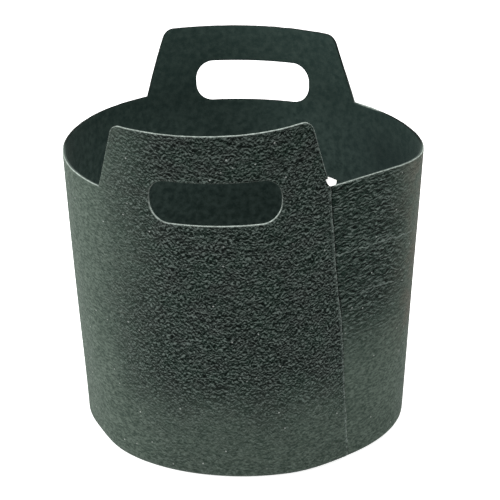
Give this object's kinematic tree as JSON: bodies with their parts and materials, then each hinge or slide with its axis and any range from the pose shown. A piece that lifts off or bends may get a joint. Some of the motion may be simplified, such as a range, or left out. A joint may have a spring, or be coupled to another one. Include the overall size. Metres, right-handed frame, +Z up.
{
  "type": "fabric grow bag",
  "caption": "Round felt planting pot: one rolled wall strip with a bonded lap, a felt base disc and two flexing tab handles with hand slots.",
  "frame": {"origin": "on the floor, at the middle of the pot's outline", "axes": "+Z up; -Y through the middle of the front handle, +X to its right seen from the front"},
  "size_m": [0.3053, 0.3061, 0.3163],
  "materials": {
    "felt_outer": "matte needle-punched felt, dark charcoal green",
    "felt_base": "matte needle-punched felt",
    "hot_melt": "satin, translucent white adhesive"
  },
  "bodies": {
    "pot": {"wall_strip": "felt_outer", "base_disc": "felt_base", "base_bond": "hot_melt", "lap_bond": "hot_melt", "lap_bead": "hot_melt", "front_handle_left_leg": "felt_outer", "front_handle_right_leg": "felt_outer", "back_handle_left_leg": "felt_outer", "back_handle_right_leg": "felt_outer"},
    "front_grip": {"front_handle": "felt_outer"},
    "back_grip": {"back_handle": "felt_outer"}
  },
  "joints": [
    {"name": "front_handle_bend", "type": "hinge", "parent": "pot", "child": "front_grip", "pos_m": [-0.0039, -0.1244, 0.2538], "axis": [0.9987, 0.0446, 0.0229], "range_deg": [-50, 50], "stiffness_Nm_per_rad": 0.05, "deforming": ["front_handle_left_leg", "front_handle_right_leg"]},
    {"name": "back_handle_bend", "type": "hinge", "parent": "pot", "child": "back_grip", "pos_m": [-0.0109, 0.1297, 0.2635], "axis": [-0.9987, -0.0487, 0.0165], "range_deg": [-50, 50], "stiffness_Nm_per_rad": 0.05, "deforming": ["back_handle_left_leg", "back_handle_right_leg"]}
  ]
}
